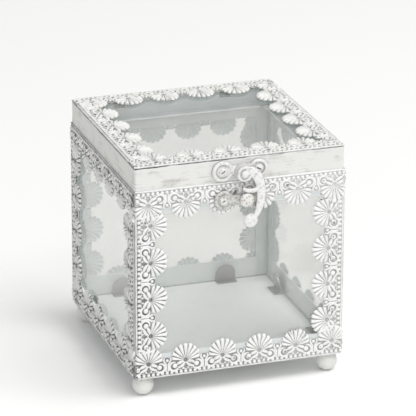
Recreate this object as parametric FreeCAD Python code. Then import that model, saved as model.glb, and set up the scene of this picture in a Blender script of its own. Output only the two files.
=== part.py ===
import FreeCAD, Part
import math
import os

from FreeCAD import Vector

# A small lidded display box: a sheet-metal frame with glass walls, a glazed lid on two
# back hinges, stamped shell ribbons along every edge, a swinging hook catch and ball feet.
# Millimetres. X runs to the right of someone facing the catch, Y to the back, Z up.
# The origin is the centre of the whole object's footprint, on the surface it stands on.

# ---- Driving dimensions ----

# Frame of folded sheet
frame_width = 117.0        # outside of the corner posts, along X
frame_depth = 117.0        # outside of the corner posts, along Y
body_height = 107.25       # corner posts, from their lower ends to the lid seam
sheet = 1.0                # thickness of posts, rails, floor and lid
post_leg = 8.0             # width of each leg of a corner post
bottom_rail_height = 13.4
top_rail_height = 8.0
catch_rail_height = 14.0   # the front top rail is deeper, to carry the catch
rail_lip = 5.0             # inward flange of the top and bottom rails

# Glass
glass = 2.0
pane_gap = 0.3             # free space round the edges of every pane

# Bent tabs that hold the wall panes against the frame
clip_width = 11.6
clip_height = 10.5
clip_sheet = 0.8
clip_foot = 5.0
clip_spacing = 62.0        # between the two tabs on one wall
clip_lean = 12.0           # degrees that a tab leans away from its pane

# Lid
lid_height = 12.6          # band of the lid
lid_flange = 8.0           # rim round the lid's window
lid_tab_width = 6.0
lid_tab_length = 4.0
lid_tab_leg = 4.0
lid_opens = 105.0          # degrees, where the hinge heels meet their leaves

# Ball feet
foot_radius = 5.8
foot_flat_radius = 1.5     # flat that the foot stands on
foot_drop = 5.4            # ball centre below the posts' lower ends
foot_inset = 5.9           # ball centre in from the frame's outside faces

# Stamped shell ribbon
ribbon_thick = 1.5
ribbon_width = 17.9        # from the beaded edge to the shell tips
ribbon_band = 9.0          # solid part of the ribbon
shell_radius = 8.8
shell_pitch = 20.85
ribbon_gap = 0.2           # between two ribbons that meet at a corner
wall_first_shell = {"front": 7.1, "right": 7.1, "back": 7.1, "left": 10.0}
lid_first_shell = {"front": 13.1, "right": 5.6, "back": 3.6, "left": 8.7}
left_strip_first_shell = 24.7    # height above the posts' lower ends
right_strip_first_shell = 21.0

# Hook catch. Offsets along X are from the middle of the front.
pivot_x = 0.6
pivot_below_lid_middle = 1.2
plate_ear_radius = 5.5
plate_bridge = 7.0         # height of the bar between a plate's ears
upper_ear_left = -10.3
upper_ear_right = 9.6
upper_plate_thick = 1.4
pivot_boss_radius = 4.6
pivot_boss_rise = 2.4      # boss in front of the upper plate
hook_disc_radius = 4.4
hook_thick = 2.2
hook_play = 0.1            # between the hook and the boss behind it, and the rivet head
hook_arm_width = 4.0
hook_end_radius = 4.2
hook_end_x = 4.1
hook_end_drop = 26.6       # hook end below the pivot
hook_bow = 6.6             # how far the arm bows to the right of its chord
pivot_shank_radius = 1.25
pivot_head_radius = 2.2
pivot_head_rise = 1.0
running_clearance = 0.06   # round the hook's pivot
knob_x = 2.1
knob_drop = 15.0           # knob below the pivot
knob_radius = 4.0
knob_neck_radius = 2.2
knob_shank_radius = 1.2
knob_head_thick = 2.8
knob_neck_length = 1.3
lower_ear_left = -9.8
lower_ear_right = 8.4
lower_plate_thick = 0.9
screw_head_radius = 2.2
screw_head_rise = 1.0
screw_shank_radius = 0.9
screw_slot_width = 0.5
screw_slot_depth = 0.45
shank_clearance = 0.05     # round every screw, rivet and hinge pin

# Hinges
hinge_spread = 72.0        # between the middles of the two hinges
knuckle_length = 6.0       # three knuckles to a hinge
knuckle_gap = 0.15         # end gap between knuckles
knuckle_wall = 0.9
hinge_pin_radius = 0.8
hinge_leaf = 0.8           # leaf thickness
hinge_leaf_height = 6.2
hinge_wall_gap = 0.15      # between the knuckles and the frame's back face
leaf_seam_gap = 0.15       # leaf edges back from the seam
knuckle_clearance = 0.25   # between a leaf and the other leaf's knuckles
heel_length = 3.2          # stop heel on the lid's knuckle, from the pin's axis
heel_thick = 1.2
heel_stop_margin = 0.5     # degrees past lid_opens where the heel touches
rivet_spacing = 11.0
rivet_drop = 4.0           # rivets away from the seam
rivet_shank_radius = 0.6
rivet_head_radius = 1.1
rivet_head_rise = 0.6
notch_gap = 0.3            # between a hinge leaf and the ribbon cut away round it

# ---- Levels and places that follow ----

half_width = frame_width / 2
half_depth = frame_depth / 2
foot_centre_z = math.sqrt(foot_radius ** 2 - foot_flat_radius ** 2)
body_z = foot_centre_z + foot_drop
seam_z = body_z + body_height
lid_top_z = seam_z + lid_height
floor_top_z = body_z + 2 * sheet
pivot_z = seam_z + lid_height / 2 - pivot_below_lid_middle
knob_z = pivot_z - knob_drop
hinge_length = 3 * knuckle_length
knuckle_radius = hinge_pin_radius + shank_clearance + knuckle_wall
hinge_axis_out = hinge_wall_gap + knuckle_radius    # axis behind the frame's back face

# Walls, seen from outside: name, turn about Z, length of the wall, distance to its face.
walls = {
    "front": (0, frame_width, half_depth),
    "right": (90, frame_depth, half_width),
    "back": (180, frame_width, half_depth),
    "left": (270, frame_depth, half_width),
}
nodes = {}


# ---- Shared shapes ----

# A box between two values on each axis, given in either order.
def block(x_pair, y_pair, z_pair):
    low = Vector(min(x_pair), min(y_pair), min(z_pair))
    high = Vector(max(x_pair), max(y_pair), max(z_pair))
    return Part.makeBox(high.x - low.x, high.y - low.y, high.z - low.z, low)


# A round bar along Y at (x, z).
def bar_y(radius, x, z, y_from, y_to):
    low = min(y_from, y_to)
    return Part.makeCylinder(radius, abs(y_to - y_from), Vector(x, low, z), Vector(0, 1, 0))


# A round bar along X at (y, z).
def bar_x(radius, y, z, x_from, x_to):
    return Part.makeCylinder(radius, x_to - x_from, Vector(x_from, y, z), Vector(1, 0, 0))


def joined(shapes):
    return shapes[0].multiFuse(shapes[1:]).removeSplitter()


# What is left of a strip after cutting, without the offcuts beyond the cut.
def main_piece(shape):
    return max(shape.Solids, key=lambda solid: solid.Volume)


# Wall pieces are drawn with the frame's outside face at y = 0 and outdoors towards -y.
def on_wall(shape, wall):
    turn, _, reach = walls[wall]
    placed = shape.translated(Vector(0, -reach, 0))
    placed.rotate(Vector(0, 0, 0), Vector(0, 0, 1), turn)
    return placed


# Rounds the edge of a button's flat front face, which lies at y_front.
def round_front(shape, y_front, radius):
    edges = [e for e in shape.Edges if all(abs(v.Point.y - y_front) < 1e-6 for v in e.Vertexes)]
    edges = [e for e in edges if isinstance(e.Curve, Part.Circle)]
    return shape.makeFillet(radius, edges)


# ---- Frame ----

def corner_post(side_x, side_y):
    leg_x = block((side_x * half_width, side_x * (half_width - post_leg)),
                  (side_y * half_depth, side_y * (half_depth - sheet)), (body_z, seam_z))
    leg_y = block((side_x * half_width, side_x * (half_width - sheet)),
                  (side_y * half_depth, side_y * (half_depth - post_leg)), (body_z, seam_z))
    # A square plate across the lower end takes the foot.
    toe = block((side_x * half_width, side_x * (half_width - post_leg)),
                (side_y * half_depth, side_y * (half_depth - post_leg)), (body_z, body_z + sheet))
    return joined([leg_x, leg_y, toe])


# An angle between two posts: a web in the wall's plane and a lip that turns inward.
def rail(span, web_low, web_high, lip_low):
    half = span / 2 - post_leg
    web = block((-half, half), (0, sheet), (web_low, web_high))
    lip = block((-half, half), (0, sheet + rail_lip), (lip_low, lip_low + sheet))
    return joined([web, lip])


# The floor rests on the bottom rails' lips and on the posts' toes.
def floor_plate():
    x = half_width - sheet
    y = half_depth - sheet
    return block((-x, x), (-y, y), (floor_top_z - sheet, floor_top_z))


# Ball with a flat to stand on, and a flat on top where it is soldered to the post's toe.
def foot(side_x, side_y):
    x = side_x * (half_width - foot_inset)
    y = side_y * (half_depth - foot_inset)
    ball = Part.makeSphere(foot_radius, Vector(x, y, foot_centre_z))
    beyond = 2 * foot_radius
    slab = block((x - beyond, x + beyond), (y - beyond, y + beyond), (0, body_z))
    return ball.common(slab)


# ---- Glass and what holds it ----

# Front and back panes run the full width. Side panes fit between them.
def pane(wall):
    _, span, _ = walls[wall]
    half = span / 2 - sheet - pane_gap
    if wall in ("left", "right"):
        half = half - glass - pane_gap
    return block((-half, half), (sheet, sheet + glass), (floor_top_z, seam_z - sheet - pane_gap))


# A half-round tab that stands up from the floor, with a foot soldered to the floor.
def pane_clip(x):
    y = sheet + glass
    radius = clip_width / 2
    straight = block((x - radius, x + radius), (y, y + clip_sheet),
                     (floor_top_z, floor_top_z + clip_height - radius))
    rounded = bar_y(radius, x, floor_top_z + clip_height - radius, y, y + clip_sheet)
    above = block((x - radius, x + radius), (y, y + clip_sheet), (floor_top_z, floor_top_z + clip_height))
    tab = joined([straight, rounded]).common(above)
    tab.rotate(Vector(x, y + clip_sheet, floor_top_z), Vector(1, 0, 0), -clip_lean)
    base = block((x - radius, x + radius), (y, y + clip_foot), (floor_top_z, floor_top_z + clip_sheet))
    return joined([tab, base])


# Angle tabs inside the lid's band hold the lid's pane up against the flange.
def lid_tab(x):
    pane_under_z = lid_top_z - sheet - glass
    x_pair = (x - lid_tab_width / 2, x + lid_tab_width / 2)
    tongue = block(x_pair, (sheet, sheet + lid_tab_length), (pane_under_z - clip_sheet, pane_under_z))
    leg = block(x_pair, (sheet, sheet + clip_sheet), (pane_under_z - lid_tab_leg, pane_under_z))
    return joined([tongue, leg])


# ---- Stamped ribbon ----

# Shells that fit along a strip, from the first one's place.
def shell_places(length, first):
    count = int((length - first) / shell_pitch) + 1
    return [first + i * shell_pitch for i in range(count)]


# Strip along +x with its beaded edge on z = 0 and its shells towards +z. It stands out to
# y = -ribbon_thick. With grow it becomes the room that a neighbour keeps clear.
def ribbon(length, places, grow=0.0):
    back = grow
    front = -ribbon_thick - grow
    band = block((0, length), (front, back), (-grow, ribbon_band + grow))
    middle_z = ribbon_width - shell_radius
    shells = [bar_y(shell_radius + grow, place, middle_z, front, back) for place in places]
    limits = block((0, length), (front, back), (-grow, ribbon_width + grow))
    return joined([band] + shells).common(limits)


# The four strips on one wall. The upright ones stop where the level ones begin.
def wall_ribbons(wall):
    _, span, _ = walls[wall]
    half = span / 2
    first = wall_first_shell[wall]
    places = shell_places(span, first)
    mirrored = [span - place for place in places]

    def lower(grow):
        return ribbon(span, places, grow).translated(Vector(-half, 0, body_z))

    def upper(grow):
        strip = ribbon(span, mirrored, grow)
        strip.rotate(Vector(0, 0, 0), Vector(0, 1, 0), 180)
        return strip.translated(Vector(half, 0, seam_z))

    def upright(first_height, side):
        room = body_height - ribbon_width - first_height
        heights = [first_height + i * shell_pitch for i in range(int(room / shell_pitch) + 1)]
        if side < 0:
            strip = ribbon(body_height, [body_height - h for h in heights])
            strip.rotate(Vector(0, 0, 0), Vector(0, 1, 0), 90)
            strip = strip.translated(Vector(-half, 0, seam_z))
        else:
            strip = ribbon(body_height, heights)
            strip.rotate(Vector(0, 0, 0), Vector(0, 1, 0), -90)
            strip = strip.translated(Vector(half, 0, body_z))
        return main_piece(strip.cut(lower(ribbon_gap)).cut(upper(ribbon_gap)))

    return {
        "top": upper(0.0),
        "bottom": lower(0.0),
        "left": upright(left_strip_first_shell, -1),
        "right": upright(right_strip_first_shell, 1),
    }


# A strip laid flat on the lid's flange, beaded edge outward.
def lid_ribbon(wall, grow=0.0):
    _, span, _ = walls[wall]
    strip = ribbon(span, shell_places(span, lid_first_shell[wall]), grow)
    strip.rotate(Vector(0, 0, 0), Vector(1, 0, 0), -90)
    return on_wall(strip.translated(Vector(-span / 2, 0, lid_top_z)), wall)


# ---- Lid ----

def lid_frame():
    shell = block((-half_width, half_width), (-half_depth, half_depth), (seam_z, lid_top_z))
    x = half_width - sheet
    y = half_depth - sheet
    hollow = block((-x, x), (-y, y), (seam_z, lid_top_z - sheet))
    x = half_width - lid_flange
    y = half_depth - lid_flange
    window = block((-x, x), (-y, y), (seam_z, lid_top_z))
    return shell.cut(hollow).cut(window)


def lid_glass():
    x = half_width - sheet - pane_gap
    y = half_depth - sheet - pane_gap
    return block((-x, x), (-y, y), (lid_top_z - sheet - glass, lid_top_z - sheet))


# ---- Hook catch, drawn on the front wall ----

upper_front = -upper_plate_thick
boss_front = upper_front - pivot_boss_rise
hook_back = boss_front - hook_play
hook_front = hook_back - hook_thick
lower_back = -ribbon_thick
lower_front = lower_back - lower_plate_thick
upper_screw_places = [(upper_ear_left, seam_z + lid_height / 2), (upper_ear_right, seam_z + lid_height / 2)]
lower_screw_places = [(lower_ear_left, knob_z), (lower_ear_right, knob_z)]


# Two round ears joined by a bar.
def eared_plate(places, y_back, y_front):
    half_bar = plate_bridge / 2
    pieces = [bar_y(plate_ear_radius, x, z, y_back, y_front) for x, z in places]
    (x_left, z), (x_right, _) = places
    pieces.append(block((x_left, x_right), (y_back, y_front), (z - half_bar, z + half_bar)))
    return joined(pieces)


def latch_plate_upper():
    plate = eared_plate(upper_screw_places, 0, upper_front)
    boss = bar_y(pivot_boss_radius, pivot_x, pivot_z, 0, boss_front)
    plate = joined([plate, boss])
    plate = plate.cut(bar_y(pivot_shank_radius + shank_clearance, pivot_x, pivot_z, 0, boss_front))
    for x, z in upper_screw_places:
        plate = plate.cut(bar_y(screw_shank_radius + shank_clearance, x, z, 0, upper_front))
    return plate


def latch_plate_lower():
    plate = eared_plate(lower_screw_places, lower_back, lower_front)
    plate = plate.cut(bar_y(knob_shank_radius + shank_clearance, knob_x, knob_z, lower_back, lower_front))
    for x, z in lower_screw_places:
        plate = plate.cut(bar_y(screw_shank_radius + shank_clearance, x, z, lower_back, lower_front))
    return plate


# A bowed arm between the pivot disc and the round hook end.
def latch_hook():
    start = Vector(pivot_x, hook_back, pivot_z)
    end = Vector(hook_end_x, hook_back, pivot_z - hook_end_drop)
    chord = end.sub(start)
    chord.normalize()
    right = Vector(-chord.z, 0, chord.x)
    middle = start.add(end).multiply(0.5)
    half_arm = hook_arm_width / 2

    def beside(point, distance):
        return point.add(Vector(right).multiply(distance))

    outer = Part.Arc(beside(start, half_arm), beside(middle, hook_bow + half_arm), beside(end, half_arm))
    inner = Part.Arc(beside(end, -half_arm), beside(middle, hook_bow - half_arm), beside(start, -half_arm))
    edges = [
        outer.toShape(),
        Part.makeLine(beside(end, half_arm), beside(end, -half_arm)),
        inner.toShape(),
        Part.makeLine(beside(start, -half_arm), beside(start, half_arm)),
    ]
    arm = Part.Face(Part.Wire(edges)).extrude(Vector(0, -hook_thick, 0))
    disc = bar_y(hook_disc_radius, start.x, start.z, hook_back, hook_front)
    button = bar_y(hook_end_radius, end.x, end.z, hook_back, hook_front)
    hook = joined([arm, disc, button])
    return hook.cut(bar_y(pivot_shank_radius + running_clearance, pivot_x, pivot_z, hook_back, hook_front))


# Rivet through the hook, the upper plate and the lid's band.
def latch_pivot():
    shank = bar_y(pivot_shank_radius, pivot_x, pivot_z, sheet, hook_front - hook_play)
    head_front = hook_front - hook_play - pivot_head_rise
    head = bar_y(pivot_head_radius, pivot_x, pivot_z, hook_front - hook_play, head_front)
    return round_front(joined([shank, head]), head_front, pivot_head_rise * 0.7)


# Stud that the hook catches, riveted through the lower plate, ribbon and front rail.
def latch_knob():
    neck_front = lower_front - knob_neck_length
    head_front = neck_front - knob_head_thick
    shank = bar_y(knob_shank_radius, knob_x, knob_z, sheet, lower_front)
    neck = bar_y(knob_neck_radius, knob_x, knob_z, lower_front, neck_front)
    head = bar_y(knob_radius, knob_x, knob_z, neck_front, head_front)
    return round_front(joined([shank, neck, head]), head_front, knob_head_thick * 0.4)


def slotted_screw(x, z, y_seat, y_end):
    y_head = y_seat - screw_head_rise
    head = bar_y(screw_head_radius, x, z, y_seat, y_head)
    shank = bar_y(screw_shank_radius, x, z, y_end, y_seat)
    slot = block((x - screw_head_radius, x + screw_head_radius), (y_head, y_head + screw_slot_depth),
                 (z - screw_slot_width / 2, z + screw_slot_width / 2))
    return joined([shank, head]).cut(slot)


# ---- Hinges, drawn on the back wall, where y < 0 is behind the box ----

axis_y = -hinge_axis_out


# A leaf on the back face, above or below the seam, with its own knuckles.
# Side is 1 for the lid's leaf and -1 for the body's.
def hinge_leaf_shape(x_middle, side):
    x_low = x_middle - hinge_length / 2
    z_near = seam_z + side * leaf_seam_gap
    z_far = seam_z + side * (leaf_seam_gap + hinge_leaf_height)
    shape = block((x_low, x_low + hinge_length), (0, -hinge_leaf), (z_near, z_far))
    own = [1] if side > 0 else [0, 2]
    for index in range(3):
        x_from = x_low + index * knuckle_length
        x_to = x_from + knuckle_length
        if index in own:
            inset_low = knuckle_gap / 2 if index > 0 else 0.0
            inset_high = knuckle_gap / 2 if index < 2 else 0.0
            knuckle = bar_x(knuckle_radius, axis_y, seam_z, x_from + inset_low, x_to - inset_high)
            shape = shape.fuse(knuckle)
        else:
            reach = knuckle_gap / 2
            room = bar_x(knuckle_radius + knuckle_clearance, axis_y, seam_z, x_from - reach, x_to + reach)
            shape = shape.cut(room)
    if side > 0:
        shape = shape.fuse(stop_heel(x_middle))
    bore = bar_x(hinge_pin_radius + shank_clearance, axis_y, seam_z, x_low, x_low + hinge_length)
    shape = shape.cut(bore).removeSplitter()
    for x, z in rivet_places(x_middle, side):
        shape = shape.cut(bar_y(rivet_shank_radius + shank_clearance, x, z, 0, -hinge_leaf))
    return shape


# A fin on the lid's knuckle. It turns with the lid until its tip meets the body's leaf.
def stop_heel(x_middle):
    half = heel_thick / 2
    face = hinge_axis_out - hinge_leaf
    past_down = math.asin(face / math.hypot(heel_length, half)) - math.atan2(half, heel_length)
    closed_rise = lid_opens + heel_stop_margin - 90.0 - math.degrees(past_down)
    x_half = knuckle_length / 2 - knuckle_gap / 2
    fin = block((x_middle - x_half, x_middle + x_half), (axis_y, axis_y - heel_length),
                (seam_z - half, seam_z + half))
    fin.rotate(Vector(x_middle, axis_y, seam_z), Vector(1, 0, 0), -closed_rise)
    return fin


def rivet_places(x_middle, side):
    z = seam_z + side * rivet_drop
    return [(x_middle - rivet_spacing / 2, z), (x_middle + rivet_spacing / 2, z)]


def hinge_rivet(x, z):
    y_head = -hinge_leaf - rivet_head_rise
    head = bar_y(rivet_head_radius, x, z, -hinge_leaf, y_head)
    shank = bar_y(rivet_shank_radius, x, z, sheet, -hinge_leaf)
    return round_front(joined([shank, head]), y_head, rivet_head_rise * 0.7)


def hinge_pin(x_middle):
    half = hinge_length / 2
    return bar_x(hinge_pin_radius, axis_y, seam_z, x_middle - half, x_middle + half)


# ---- Assembly ----

corners = {"front_left": (-1, -1), "front_right": (1, -1), "back_left": (-1, 1), "back_right": (1, 1)}
for corner, (side_x, side_y) in corners.items():
    nodes["corner_post_" + corner] = corner_post(side_x, side_y)
    nodes["foot_" + corner] = foot(side_x, side_y)
nodes["floor_plate"] = floor_plate()

clips = []
lid_tabs = []
for wall, (_, span, _) in walls.items():
    top_web = catch_rail_height if wall == "front" else top_rail_height
    bottom_rail = rail(span, body_z, body_z + bottom_rail_height, body_z)
    top_rail = rail(span, seam_z - top_web, seam_z, seam_z - sheet)
    nodes["bottom_rail_" + wall] = on_wall(bottom_rail, wall)
    nodes["top_rail_" + wall] = on_wall(top_rail, wall)
    nodes["pane_" + wall] = on_wall(pane(wall), wall)
    for x in (-clip_spacing / 2, clip_spacing / 2):
        clips.append(on_wall(pane_clip(x), wall))
        lid_tabs.append(on_wall(lid_tab(x), wall))
    for place, strip in wall_ribbons(wall).items():
        nodes["trim_" + wall + "_" + place] = on_wall(strip, wall)
nodes["pane_clips"] = Part.makeCompound(clips)

nodes["lid_frame"] = lid_frame()
nodes["lid_glass"] = lid_glass()
nodes["lid_glass_tabs"] = Part.makeCompound(lid_tabs)
for wall in ("front", "back"):
    nodes["lid_trim_" + wall] = lid_ribbon(wall)
for wall in ("left", "right"):
    strip = lid_ribbon(wall)
    for crossing in ("front", "back"):
        strip = strip.cut(lid_ribbon(crossing, ribbon_gap))
    nodes["lid_trim_" + wall] = main_piece(strip)

nodes["latch_plate_upper"] = on_wall(latch_plate_upper(), "front")
nodes["latch_plate_lower"] = on_wall(latch_plate_lower(), "front")
nodes["latch_hook"] = on_wall(latch_hook(), "front")
nodes["latch_pivot"] = on_wall(latch_pivot(), "front")
nodes["latch_knob"] = on_wall(latch_knob(), "front")
upper_screws = [slotted_screw(x, z, upper_front, sheet) for x, z in upper_screw_places]
lower_screws = [slotted_screw(x, z, lower_front, sheet) for x, z in lower_screw_places]
nodes["latch_screws_upper"] = on_wall(Part.makeCompound(upper_screws), "front")
nodes["latch_screws_lower"] = on_wall(Part.makeCompound(lower_screws), "front")

# On the back wall x runs the other way, so the hinge at -x is on the object's right.
hinge_middles = {"right": -hinge_spread / 2, "left": hinge_spread / 2}
pins = []
body_rivets = []
lid_rivets = []
for side, x_middle in hinge_middles.items():
    nodes["hinge_leaf_body_" + side] = on_wall(hinge_leaf_shape(x_middle, -1), "back")
    nodes["hinge_leaf_lid_" + side] = on_wall(hinge_leaf_shape(x_middle, 1), "back")
    pins.append(on_wall(hinge_pin(x_middle), "back"))
    body_rivets += [on_wall(hinge_rivet(x, z), "back") for x, z in rivet_places(x_middle, -1)]
    lid_rivets += [on_wall(hinge_rivet(x, z), "back") for x, z in rivet_places(x_middle, 1)]
nodes["hinge_pins"] = Part.makeCompound(pins)
nodes["hinge_rivets_body"] = Part.makeCompound(body_rivets)
nodes["hinge_rivets_lid"] = Part.makeCompound(lid_rivets)


# ---- Holes and notches that the fittings need ----

def drill(node, wall, x, z, radius, y_from, y_to):
    nodes[node] = nodes[node].cut(on_wall(bar_y(radius, x, z, y_from, y_to), wall))


drill("lid_frame", "front", pivot_x, pivot_z, pivot_shank_radius + shank_clearance, 0, sheet)
for x, z in upper_screw_places:
    drill("lid_frame", "front", x, z, screw_shank_radius + shank_clearance, 0, sheet)
for node, y_from, y_to in (("top_rail_front", 0, sheet), ("trim_front_top", 0, -ribbon_thick)):
    drill(node, "front", knob_x, knob_z, knob_shank_radius + shank_clearance, y_from, y_to)
    for x, z in lower_screw_places:
        drill(node, "front", x, z, screw_shank_radius + shank_clearance, y_from, y_to)
for x_middle in hinge_middles.values():
    for x, z in rivet_places(x_middle, -1):
        drill("top_rail_back", "back", x, z, rivet_shank_radius + shank_clearance, 0, sheet)
    for x, z in rivet_places(x_middle, 1):
        drill("lid_frame", "back", x, z, rivet_shank_radius + shank_clearance, 0, sheet)
    half = hinge_length / 2 + notch_gap
    low_z = seam_z - leaf_seam_gap - hinge_leaf_height - notch_gap
    notch = block((x_middle - half, x_middle + half), (0, -ribbon_thick), (low_z, seam_z))
    nodes["trim_back_top"] = nodes["trim_back_top"].cut(on_wall(notch, "back"))

# ---- Centring and export ----

# The catch and the hinges stand out by different amounts, so the whole object is moved
# along Y until its footprint is centred on the origin.
extent = Part.makeCompound(list(nodes.values())).optimalBoundingBox()
centring = Vector(0, -(extent.YMin + extent.YMax) / 2, 0)

os.makedirs("parts", exist_ok=True)
for name, shape in nodes.items():
    shape.translated(centring).exportStep("parts/" + name + ".step")

print("nodes:", len(nodes))
print("body centre Y:", round(centring.y, 4), " depth over all:", round(extent.YLength, 4))
print("body_z, floor_top_z, seam_z, lid_top_z:", body_z, floor_top_z, seam_z, lid_top_z)
print("lid axis Y, Z:", round(half_depth + hinge_axis_out + centring.y, 4), round(seam_z, 4))
print("hook pivot X, Y, Z:", pivot_x, round(-half_depth + hook_back + centring.y, 4), round(pivot_z, 4))
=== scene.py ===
import math

import bpy
import numpy as np
from mathutils import Matrix, Vector


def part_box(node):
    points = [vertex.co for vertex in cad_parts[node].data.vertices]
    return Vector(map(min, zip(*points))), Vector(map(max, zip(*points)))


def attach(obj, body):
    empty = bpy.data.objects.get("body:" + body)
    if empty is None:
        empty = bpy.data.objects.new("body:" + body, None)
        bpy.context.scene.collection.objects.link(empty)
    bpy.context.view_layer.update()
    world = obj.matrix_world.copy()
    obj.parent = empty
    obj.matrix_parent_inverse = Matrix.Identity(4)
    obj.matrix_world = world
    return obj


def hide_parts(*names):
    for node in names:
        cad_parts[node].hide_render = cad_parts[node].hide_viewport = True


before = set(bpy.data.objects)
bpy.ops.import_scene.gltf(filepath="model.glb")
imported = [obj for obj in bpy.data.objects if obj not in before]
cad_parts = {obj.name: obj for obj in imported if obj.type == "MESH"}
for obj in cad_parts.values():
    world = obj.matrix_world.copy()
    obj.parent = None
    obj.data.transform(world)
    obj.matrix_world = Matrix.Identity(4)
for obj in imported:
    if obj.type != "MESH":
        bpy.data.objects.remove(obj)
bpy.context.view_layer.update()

metresPerMm = 0.001
print("frame loaded:", len(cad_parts), "parts")


# A node's lowest and highest corner, in millimetres.
def nodeBox(node):
    low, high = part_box(node)
    return np.array(low) / metresPerMm, np.array(high) / metresPerMm


postLow, postHigh = nodeBox("corner_post_front_left")
bodyZ, seamZ = postLow[2], postHigh[2]
lidTopZ = nodeBox("lid_frame")[1][2]
frameLow = postLow[:2]
frameHigh = nodeBox("corner_post_back_right")[1][:2]
middleXY = (frameLow + frameHigh) / 2
halfXY = (frameHigh - frameLow) / 2
bodyMiddle = np.array([*middleXY, 0.0])
up = np.array([0.0, 0.0, 1.0])
outward = {
    "front": np.array([0.0, -1.0, 0.0]),
    "right": np.array([1.0, 0.0, 0.0]),
    "back": np.array([0.0, 1.0, 0.0]),
    "left": np.array([-1.0, 0.0, 0.0]),
}


# A part is a dictionary of corner points, four- and three-sided faces and a wear value
# for each point. Wear tells the paint where it is rubbed or how high the relief stands,
# and is -1 on faces that look into the box, which are painted paler as painted light.

# Turns every face round if the faces enclose a negative volume, which is a sixth of the
# sum of a . (b x c) over the triangles.
def facedOut(verts, quads, tris):
    a, b, c = verts[tris[:, 0]], verts[tris[:, 1]], verts[tris[:, 2]]
    volume = np.einsum("ij,ij->i", a, np.cross(b, c)).sum()
    for second, third in ((1, 2), (2, 3)):
        a, b, c = verts[quads[:, 0]], verts[quads[:, second]], verts[quads[:, third]]
        volume += np.einsum("ij,ij->i", a, np.cross(b, c)).sum()
    return (quads, tris) if volume > 0 else (quads[:, ::-1], tris[:, ::-1])


# Closed skin over rings of points, (rings, points, 3): each point is joined to the next on
# its ring and to the same one on the next ring, and each end ring is closed by a fan to
# its mean point.
def skin(rings, wear=0.0):
    rings = np.asarray(rings, float)
    count, points, _ = rings.shape
    verts = np.concatenate([rings.reshape(-1, 3), rings[[0, -1]].mean(axis=1)])
    middle = count * points
    here = np.arange(middle).reshape(count, points)
    after = np.roll(here, -1, axis=1)
    quads = np.stack([here[:-1], here[1:], after[1:], after[:-1]], axis=-1).reshape(-1, 4)
    tris = np.concatenate([
        np.stack([np.full(points, middle), here[0], after[0]], axis=-1),
        np.stack([np.full(points, middle + 1), after[-1], here[-1]], axis=-1),
    ])
    quads, tris = facedOut(verts, quads, tris)
    wear = np.broadcast_to(wear, (count, points))
    ends = [wear[0].mean(), wear[-1].mean()]
    return {"verts": verts, "quads": quads, "tris": tris, "wear": np.concatenate([wear.ravel(), ends])}


# Closed sheet between an outer and an inner grid of points, both (rows, columns, 3).
# The four borders are walled, except the row ends of a sheet whose rows go round.
def sheet(outer, inner, wear=0.0, goesRound=False):
    rows, columns, _ = outer.shape
    verts = np.concatenate([outer.reshape(-1, 3), inner.reshape(-1, 3)])
    half = rows * columns
    here = np.arange(half).reshape(rows, columns)
    if goesRound:
        here = np.concatenate([here, here[:1]])
    face = np.stack([here[:-1, :-1], here[1:, :-1], here[1:, 1:], here[:-1, 1:]], axis=-1).reshape(-1, 4)
    borders = [here[:, 0], here[::-1, -1]]
    if not goesRound:
        borders += [here[0, ::-1], here[-1]]
    walls = [np.stack([line[:-1], line[:-1] + half, line[1:] + half, line[1:]], axis=-1) for line in borders]
    quads = np.concatenate([face, face[:, ::-1] + half] + walls)
    quads, tris = facedOut(verts, quads, np.zeros((0, 3), int))
    wear = np.broadcast_to(wear, (rows, columns)).ravel()
    return {"verts": verts, "quads": quads, "tris": tris,
            "wear": np.concatenate([wear, np.full(half, -1.0)])}


# The same part at many places: every copy is the points plus that place.
def copies(part, places):
    places = np.asarray(places, float).reshape(-1, 3)
    count = len(part["verts"])
    shift = np.arange(len(places))[:, None, None] * count
    return {
        "verts": (part["verts"][None] + places[:, None]).reshape(-1, 3),
        "quads": (part["quads"][None] + shift).reshape(-1, 4),
        "tris": (part["tris"][None] + shift).reshape(-1, 3),
        "wear": np.tile(part["wear"], len(places)),
    }


# The part seen in a mirror across its first axis, with its faces turned to match.
def mirrored(part):
    verts = part["verts"] * (-1, 1, 1)
    return dict(part, verts=verts, quads=part["quads"][:, ::-1], tris=part["tris"][:, ::-1])


# Several parts as one: each part's faces count on from the points before it.
def joined(parts):
    starts = np.cumsum([0] + [len(part["verts"]) for part in parts[:-1]])
    return {
        "verts": np.concatenate([part["verts"] for part in parts]),
        "quads": np.concatenate([part["quads"] + start for part, start in zip(parts, starts)]),
        "tris": np.concatenate([part["tris"] + start for part, start in zip(parts, starts)]),
        "wear": np.concatenate([part["wear"] for part in parts]),
    }


# Point = origin + x * first + y * second + z * third, for three unit directions.
def placed(part, origin, first, second, third):
    axes = np.stack([first, second, third])
    return dict(part, verts=part["verts"] @ axes + np.asarray(origin))


# Tube: circles of the given radii square to a smooth path, which is the path plus
# radius times (cos a * side + sin a * upright), where side is level with the sheet.
def tube(path, radii, points=8, wear=0.0):
    path = np.asarray(path, float)
    run = np.gradient(path, axis=0)
    run /= np.linalg.norm(run, axis=1, keepdims=True)
    side = np.cross(run, (0, 0, 1))
    side /= np.linalg.norm(side, axis=1, keepdims=True)
    upright = np.cross(side, run)
    turn = np.arange(points) / points * 2 * math.pi
    radii = np.broadcast_to(radii, len(path))[:, None, None]
    across, over = np.cos(turn)[None, :, None], np.sin(turn)[None, :, None]
    ring = across * side[:, None] + over * upright[:, None]
    return skin(path[:, None] + radii * ring, wear)


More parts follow.
